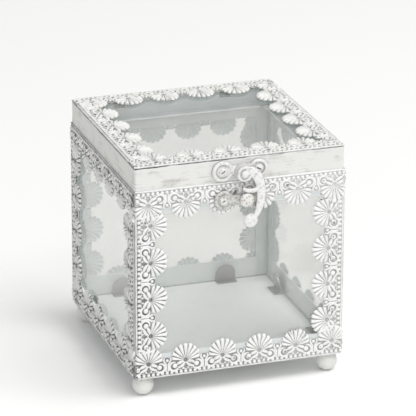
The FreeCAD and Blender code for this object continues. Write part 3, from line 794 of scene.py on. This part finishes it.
# The lid's frame: the angle section carried round the plan, the band upright and the
# flange inward, with a slight waver where the sheet was beaten flat by hand.
def lidFrame():
    height = lidTopZ - seamZ
    outer, inner, wear = angleSection(height, fold["flange"])

    # Every section point carried round the plan, then waved and drawn in at mid height.
    def grid(section):
        columns = []
        for inset, rise in section:
            plan = roundedPlan(inset)
            level = np.full(len(plan), seamZ + rise)
            columns.append(np.column_stack([plan, level]))
        points = np.stack(columns, axis=1)
        waver = fold["waver"] * np.sin(points[..., 0] * 0.11 + 1) * np.sin(points[..., 1] * 0.09)
        midHeight = np.sin(np.clip((points[..., 2] - seamZ) / height, 0, 1) * math.pi)
        shrink = 1 - (0.5 * (1 + waver) * midHeight * 0.25)[..., None] / 60 * (1, 1, 0)
        return points * shrink + bodyMiddle

    share = roundedPlan(0) / halfXY
    cornerShare = np.clip((np.abs(share).min(axis=1) - 0.95) / 0.03, 0, 1)
    rubbed = 1.02 - 0.2 * share[:, 0] + 0.35 * cornerShare
    return sheet(grid(outer), grid(inner), wear[None] * rubbed[:, None], goesRound=True)


addPiece("lid_frame_shell", lidFrame(), paintAcross, "lid", ["lid_frame"])


# A corner post: the angle section carried up the corner, and the toe plate that takes
# the foot.
def cornerPost(signX, signY):
    leg, band = fold["leg"], fold["wearBand"]
    height = seamZ - bodyZ
    outer, inner, wear = angleSection(leg, leg)
    levels = np.array([0, band, 20, 50, 80, height - band, height])

    # Section x is the depth from one face, and section y grows towards the other face.
    def grid(section):
        x = halfXY[0] - section[:, 0]
        y = halfXY[1] - (leg - section[:, 1])
        points = np.stack(np.broadcast_arrays(x[None], y[None], levels[:, None]), axis=-1)
        return points * (signX, signY, 1) + bodyMiddle + bodyZ * up

    ends = np.interp(levels, [0, band, height - band, height], [0.8, 0, 0, 0.8])
    post = sheet(grid(outer), grid(inner), np.maximum(wear[None], ends[:, None]))
    xs, ys = (np.array([half - leg, half - fold["toeInset"]]) * sign + middle
              for half, sign, middle in zip(halfXY, (signX, signY), middleXY))
    under = np.stack(np.broadcast_arrays(xs[:, None], ys[None], bodyZ + 0.02), axis=-1)
    return joined([post, sheet(under, under + (0, 0, 0.96))])


corners = {"front_left": (-1, -1), "front_right": (1, -1), "back_left": (-1, 1), "back_right": (1, 1)}
for corner, (signX, signY) in corners.items():
    addPiece("post_" + corner, cornerPost(signX, signY), paintUpright, "box",
             ["corner_post_" + corner])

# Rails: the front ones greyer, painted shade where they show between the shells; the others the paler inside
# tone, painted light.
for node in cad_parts:
    if node.startswith(("bottom_rail_", "top_rail_")):
        paintNode(node, paintFrontRailsShaded if node.endswith("front") else paintRails)
paintNode("floor_plate", paintFloor)
print("frame made")


# A pane: a flat slab with eased arrises. Rings run round one face, over the edge and back
# on the other, each the rectangle set in at its own depth; wear marks the cut edge.
def pane(low, high, thinAxis):
    ease, faceInset, hair = glass["ease"], 30, 0.0001
    first, second = (axis for axis in range(3) if axis != thinAxis)
    rings = []
    for inset, depth in ((faceInset, 0), (ease, 0), (0, ease), (0, -ease), (ease, -hair), (faceInset, -hair)):
        ring = np.zeros((4, 3))
        ring[:, first] = np.array([low[first] + inset, high[first] - inset])[[0, 1, 1, 0]]
        ring[:, second] = np.array([low[second] + inset, high[second] - inset])[[0, 0, 1, 1]]
        ring[:, thinAxis] = low[thinAxis] + depth if depth >= 0 else high[thinAxis] + depth
        rings.append(ring)
    return skin(np.array(rings), np.array([0, 0, 1, 1, 0, 0.0])[:, None])


for name, node, thinAxis, body in (("front", "pane_front", 1, "box"), ("right", "pane_right", 0, "box"),
                                   ("back", "pane_back", 1, "box"), ("left", "pane_left", 0, "box"),
                                   ("lid", "lid_glass", 2, "lid")):
    addPiece("glass_" + name, pane(*nodeBox(node), thinAxis), clearGlass, body, [node])

paintNode("pane_clips", bareSteel)
paintNode("lid_glass_tabs", bareSteel)
paintNode("hinge_pins", pinSteel)
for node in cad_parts:
    if node.startswith(("hinge_leaf", "hinge_rivets")):
        paintNode(node, castPaint)
print("glass made")


foot = {"flat": 1.5, "top": 2.1, "push": 0.008}      # flat radii, and how deep the waves are


# A cast ball: radius times (cos b, sin b) from the flat it stands on to the flat on top,
# pushed in and out a little by slow waves, as brushed paint leaves it.
def ballFoot(low, high):
    radius = (high[0] - low[0]) / 2
    middle = (low + high) / 2
    centre = (middle[0], middle[1], math.sqrt(radius ** 2 - foot["flat"] ** 2))
    bottom = -math.acos(foot["flat"] / radius)
    top = math.acos(foot["top"] / radius)
    rise = np.linspace(bottom, top, 22)
    turn = np.arange(40) / 40 * 2 * math.pi
    wave = 1 - foot["push"] * (1 + np.sin(3 * turn[None] + 4 * rise[:, None]) * np.cos(rise[:, None]))
    wave[0] = wave[-1] = 1.0
    level = radius * np.cos(rise)[:, None] * wave
    rings = np.stack([level * np.cos(turn), level * np.sin(turn),
                      radius * np.sin(rise)[:, None] * np.ones(40)], axis=-1)
    wear = np.interp(rise, [top - 0.25, top], [0, 0.9])[:, None] * np.ones(40)
    return copies(skin(rings, wear), [centre])


for corner in corners:
    low, high = nodeBox("foot_" + corner)
    addPiece("ball_" + corner, ballFoot(low, high), footPaint, "box", ["foot_" + corner])
print("feet made")


catch = {
    "pivotX": 0.6, "bossRadius": 4.7, "discRadius": 4.5, "knobX": 2.1, "earRadius": 5.5,
    "endX": 4.1, "endDrop": 26.6, "endRadius": 4.0,
    "upperEars": (5.9, 5.3), "lowerEars": (5.6, 5.2),
    "barHalf": (2.7, 1.3),               # half height midway, and what the ends add to it
    "screwRise": 1.0, "upperTurns": (0.6, -0.5), "lowerTurns": (0.3, 1.2),
    "slot": (0.4, 1.5, 0.55),            # half width, half length, and depth as a share
    "shank": 1.25, "rivetHead": 2.2,
    "neck": 2.2, "neckLength": 1.3, "knobRadius": 4.0,
    # the hook's arm from the pivot, right and up, each with its half width
    "arm": ((0.6, 1.0, 2.0), (3.6, 1.1, 2.6), (6.6, -1.6, 2.75), (8.6, -6.4, 2.55), (9.2, -11.6, 2.45),
            (8.8, -16.6, 2.2), (7.6, -21.2, 1.75), (5.6, -24.8, 1.4), (3.5, -26.6, 1.4)),
    "claw": ((8.3, -8.6, 1.5), (5.6, -9.7, 1.35), (3.0, -9.8, 1.2), (0.8, -9.2, 1.05), (-0.9, -7.9, 0.7)),
}
faceY = frameLow[1]


# Puts a part of the catch on its CAD node. Its x runs to the right, its y up and its z
# forward from the wall, and place is (x, height, distance forward).
def addCatchPart(name, part, place, material, body):
    x, z, forward = place
    seated = placed(part, (x, faceY - forward, z), outward["right"], up, outward["front"])
    addPiece("catch_" + name, seated, material, body, ["latch_" + name])


# Cast ear: a turned disc with a broad rolled rim, a groove and a low dome in the middle.
# The profile is in shares of the radius and of the rise.
def castEar(radius, back, front):
    profile = np.array([[0.99, 0], [1.0, 0.3], [0.97, 0.62], [0.9, 0.86], [0.8, 1.0], [0.72, 0.95],
                        [0.65, 0.72], [0.6, 0.5], [0.55, 0.55], [0.45, 0.7], [0.3, 0.78], [0.12, 0.8]])
    profile = profile * (radius, front - back) + (0, back)
    return lathe(profile, 44, wear=[0.9, 0.5, 0.1, 0, 0, 0.1, 0.35, 0.6, 0.35, 0.1, 0, 0])


# Slotted round head: a dome, height times (1 - 0.92 r^2) ^ 0.5, cut by a straight slot.
# Wear is high in the slot, where grime sits.
def slottedHead(radius, height, slotTurn):
    rings, points = 14, 48
    halfWidth, halfLength, depth = catch["slot"]
    r = np.linspace(0.04, 1, rings)[:, None]
    turn = np.arange(points) / points * 2 * math.pi
    x, y = radius * r * np.cos(turn), radius * r * np.sin(turn)
    dome = height * np.sqrt(np.clip(1 - 0.92 * r ** 2, 0, 1)) * np.ones(points)
    across = np.abs(-x * math.sin(slotTurn) + y * math.cos(slotTurn))
    along = np.abs(x * math.cos(slotTurn) + y * math.sin(slotTurn))
    inSlot = np.clip((halfWidth - across) / 0.15, 0, 1) * np.clip((halfLength - along) / 0.4, 0, 1)
    top = np.stack([x, y, np.maximum(dome - depth * height * inSlot, 0.1)], axis=-1)
    rim = np.stack([radius * np.cos(turn), radius * np.sin(turn), np.zeros(points)], axis=-1)
    wear = np.concatenate([inSlot, np.full((2, points), 0.6)])
    return skin(np.concatenate([top, [rim], [rim * (0.2, 0.2, 1)]]), wear)


# Plate: two cast ears, and a waisted bar between them with a rounded face. At share s of
# its length the bar's half height is barHalf[0] + barHalf[1] * (2 s - 1)^2.
def catchPlate(leftX, rightX, earRadii, back, front, barFront):
    share = np.linspace(0, 1, 15)[:, None]
    x = leftX + (rightX - leftX) * share
    halfHeight = catch["barHalf"][0] + catch["barHalf"][1] * (2 * share - 1) ** 2
    turn = np.arange(20) / 20 * 2 * math.pi
    rise = barFront - back
    lift = np.clip(np.sin(turn), 0, 1) ** 0.7 * rise
    rings = np.stack(np.broadcast_arrays(x, halfHeight * np.cos(turn), back + lift[None]), axis=-1)
    bar = skin(rings, np.interp(lift, [0, 0.5 * rise, rise], [0.8, 0.2, 0])[None])
    ears = [copies(castEar(radius, back, front), [[x, 0, 0]]) for x, radius in zip((leftX, rightX), earRadii)]
    return joined([bar] + ears)


upperLow = nodeBox("latch_plate_upper")[0]
lowerLow, lowerHigh = nodeBox("latch_plate_lower")
hookLow, hookHigh = nodeBox("latch_hook")
knobLow, knobHigh = nodeBox("latch_knob")
pivotLow, pivotHigh = nodeBox("latch_pivot")
screwLow, screwHigh = nodeBox("latch_screws_upper")
headRadius = (screwHigh[2] - screwLow[2]) / 2
upperEars = (screwLow[0] + headRadius, screwHigh[0] - headRadius)
upperFront = faceY - screwLow[1] - catch["screwRise"]
screwLow, screwHigh = nodeBox("latch_screws_lower")
lowerEars = (screwLow[0] + headRadius, screwHigh[0] - headRadius)
upperZ, lowerZ = upperLow[2] + catch["earRadius"], lowerLow[2] + catch["earRadius"]
pivotZ = (pivotLow[2] + pivotHigh[2]) / 2
knobZ = (knobLow[2] + knobHigh[2]) / 2
lowerBack, lowerFront = faceY - lowerHigh[1], faceY - lowerLow[1]
hookBack, hookFront = faceY - hookHigh[1], faceY - hookLow[1]

upperPlate = catchPlate(*upperEars, catch["upperEars"], 0.0, upperFront + 0.5, upperFront)
bossRadius, bossFront = catch["bossRadius"], hookBack - 0.1
boss = lathe([[bossRadius, 0], [bossRadius, bossFront - 0.4], [bossRadius - 0.4, bossFront],
              [1.5, bossFront]], 36, wear=[0.4, 0.3, 0, 0])
upperPlate = joined([upperPlate, copies(boss, [(catch["pivotX"], pivotZ - upperZ, 0)])])
addCatchPart("plate_upper", upperPlate, (0, upperZ, 0), castPaint, "lid")
lowerPlate = catchPlate(*lowerEars, catch["lowerEars"], lowerBack, lowerFront + 0.7, lowerFront + 0.8)
addCatchPart("plate_lower", lowerPlate, (0, lowerZ, 0), lowerPaint, "box")

for name, ears, z, front, body in (("upper", upperEars, upperZ, upperFront, "lid"),
                                   ("lower", lowerEars, lowerZ, lowerFront, "box")):
    heads = [copies(slottedHead(headRadius, catch["screwRise"], turn), [(x, 0, front)])
             for x, turn in zip(ears, catch[name + "Turns"])]
    addCatchPart("screws_" + name, joined(heads), (0, z, 0), castPaint, body)


# Arm of rounded section along a smooth curve through the given places, with a half width
# at each: for every point along it, side * width * cos a and thick / 2 * (1 + sin a), the
# sine raised to a power below one so that the face is flatter than a circle's. Between
# places b and c, with a before and d after, the curve at t is half of 2 b + (c - a) t
# + (2 a - 5 b + 4 c - d) t^2 + (3 b - a - 3 c + d) t^3.
def castArm(stations, thick, grimeAndShade):
    stations = np.array(stations)
    points = 18
    share = np.linspace(0, len(stations) - 1, 5 * len(stations))
    index = np.clip(share.astype(int), 0, len(stations) - 2)
    t = (share - index)[:, None]
    padded = np.concatenate([[2 * stations[0] - stations[1]], stations, [2 * stations[-1] - stations[-2]]])
    a, b, c, d = (padded[index + step] for step in range(4))
    square, cube = 2 * a - 5 * b + 4 * c - d, 3 * b - a - 3 * c + d
    path = 0.5 * (2 * b + (c - a) * t + square * t ** 2 + cube * t ** 3)
    run = np.gradient(path[:, :2], axis=0)
    run /= np.linalg.norm(run, axis=1, keepdims=True)
    side = np.column_stack([-run[:, 1], run[:, 0]])
    around = np.arange(points) / points * 2 * math.pi
    upward = np.sign(np.sin(around)) * np.abs(np.sin(around)) ** 0.7
    flat = path[:, None, :2] + path[:, 2, None, None] * np.cos(around)[None, :, None] * side[:, None]
    level = np.broadcast_to((thick / 2 * (1 + upward))[None, :, None], (len(path), points, 1))
    # Painted: the flanks and back are darkened, grime and painted shade; the face stays clean.
    wear = np.where(upward > 0.3, 0.0, grimeAndShade)[None] * np.ones((len(path), 1))
    return skin(np.concatenate([flat, level], axis=-1), wear)


# The hook: a turned disc with a rolled rim, the arm, the claw that reaches over the knob
# and a button end.
def castHook():
    thick = hookFront - hookBack
    radius = catch["discRadius"]
    disc = lathe([[radius - 0.3, 0], [radius, 0.4], [radius, 1.2], [radius - 0.4, thick - 0.2],
                  [radius - 1.0, thick], [radius - 1.5, thick - 0.25], [radius - 1.8, thick - 0.6],
                  [1.4, thick - 0.5]], 44, wear=[0.9, 0.8, 0.3, 0, 0, 0.15, 0.4, 0.2])
    rise = np.radians([-90, -60, -30, 0, 25, 45, 65, 82])
    profile = np.stack([np.maximum(catch["endRadius"] * np.cos(rise) ** 0.8, 0.4),
                        thick / 2 + thick / 2 * np.sin(rise)], axis=-1)
    end = (catch["endX"] - catch["pivotX"], -catch["endDrop"], 0)
    button = copies(lathe(profile, 36, wear=[0.9, 0.8, 0.7, 0.5, 0.1, 0, 0, 0]), [end])
    # The claw sits in shade and gets more of the dark value, as painted shade.
    arm = castArm(catch["arm"], thick, 0.55)
    claw = castArm(catch["claw"], thick - 0.3, 0.8)
    return joined([arm, claw, disc, button])


hookPlace = (catch["pivotX"], pivotZ, hookBack)
addCatchPart("hook", castHook(), hookPlace, castPaint, "latch_hook")

# Pivot rivet: a low dome on the hook's disc, with its shank through the plate.
rivetBack = hookFront - 0.2
rivetFront = faceY - pivotLow[1]
rise = np.radians([0, 25, 50, 75])
dome = [[catch["rivetHead"] * math.cos(a) ** 0.7, rivetBack + (rivetFront - rivetBack) * math.sin(a)]
        for a in rise]
shank = [[catch["shank"], 0.0], [catch["shank"], rivetBack], [catch["rivetHead"] - 0.05, rivetBack]]
rivet = lathe(shank + dome, 32, wear=[0, 0, 0.5, 0.4, 0.1, 0, 0])
addCatchPart("pivot", rivet, (catch["pivotX"], pivotZ, 0), castPaint, "lid")

# Knob: a domed stud on a short neck.
rise = np.radians([-40, -15, 5, 25, 45, 65, 82])
headBack = lowerFront + catch["neckLength"]
headThick = faceY - knobLow[1] - headBack
head = [[catch["knobRadius"] * math.cos(a) ** 0.8, headBack + headThick * (0.35 + 0.65 * math.sin(a))]
        for a in rise]
neck = [[catch["neck"], lowerFront - 0.2], [catch["neck"], headBack]]
knob = lathe(neck + head, 36, wear=[0.6, 0.5, 0.4, 0.2, 0, 0, 0, 0, 0])
addCatchPart("knob", knob, (catch["knobX"], knobZ, 0), knobPaint, "box")
print("catch made")


studio = {
    "floorHalf": 6,          # metres
    "floor": "#fdfdfc",
    "around": 0.47,          # strength of the white all round
    "aimZ": 0.065,
    "key": ((0.8, -0.95, 2.9), 2.2, 66.0),       # place, size and watts
    "fill": ((-0.8, -2.6, 0.9), 2.2, 18.0),
}
half = studio["floorHalf"]
floorMesh = bpy.data.meshes.new("studio_floor")
floorCorners = [(-half, -half, 0), (half, -half, 0), (half, half, 0), (-half, half, 0)]
floorMesh.from_pydata(floorCorners, [], [(0, 1, 2, 3)])
floorObject = bpy.data.objects.new("studio_floor", floorMesh)
bpy.context.scene.collection.objects.link(floorObject)
floorPaint, tree = newMaterial("studio_floor_paint")
matt = addNode(tree, "ShaderNodeBsdfPrincipled", {"Base Color": linearColour(studio["floor"]),
                                                  "Roughness": 0.9}).outputs["BSDF"]
addNode(tree, "ShaderNodeOutputMaterial", {"Surface": matt})
floorMesh.materials.append(floorPaint)

world = bpy.data.worlds.new("studio")
bpy.context.scene.world = world
world.use_nodes = True
background = world.node_tree.nodes["Background"].inputs
background["Color"].default_value = (1.0, 1.0, 1.0, 1.0)
background["Strength"].default_value = studio["around"]


# A square soft box that looks at the object's middle.
def softBox(name):
    place, size, watts = studio[name]
    light = bpy.data.lights.new(name, "AREA")
    light.size = size
    light.energy = watts
    lamp = bpy.data.objects.new(name, light)
    lamp.location = place
    lamp.rotation_euler = (Vector((0, 0, studio["aimZ"])) - Vector(place)).to_track_quat("-Z", "Y").to_euler()
    bpy.context.scene.collection.objects.link(lamp)


softBox("key")
softBox("fill")

view = {
    "lensMm": 259.87, "sensorMm": 36.0,
    "yaw": -18.757, "elevation": 20.840, "roll": 0.2252,
    "offset": (1.9535, 65.644, 1671.6),  # from the body's lower middle, along right, up and back
    "seeThrough": 32,                    # clear faces that a line of sight may pass
}
yaw, elevation, roll = (math.radians(view[key]) for key in ("yaw", "elevation", "roll"))
level = math.cos(elevation)
back = np.array([math.sin(yaw) * level, -math.cos(yaw) * level, math.sin(elevation)])
right = np.array([math.cos(yaw), math.sin(yaw), 0.0])
upward = np.cross(back, right)
spin = np.array([[math.cos(roll), math.sin(roll), 0], [-math.sin(roll), math.cos(roll), 0], [0, 0, 1]])
axes = spin @ np.stack([right, upward, back])
place = (bodyMiddle + bodyZ * up + axes.T @ np.array(view["offset"])) * metresPerMm
camera = bpy.data.cameras.new("camera")
camera.lens = view["lensMm"]
camera.sensor_width = view["sensorMm"]
cameraObject = bpy.data.objects.new("camera", camera)
matrix = Matrix([[*axes[:, row], place[row]] for row in range(3)] + [[0, 0, 0, 1]])
cameraObject.matrix_world = matrix
bpy.context.scene.collection.objects.link(cameraObject)
bpy.context.scene.camera = cameraObject
bpy.context.scene.view_settings.view_transform = "Standard"
bpy.context.scene.cycles.transparent_max_bounces = view["seeThrough"]
print("stage set")
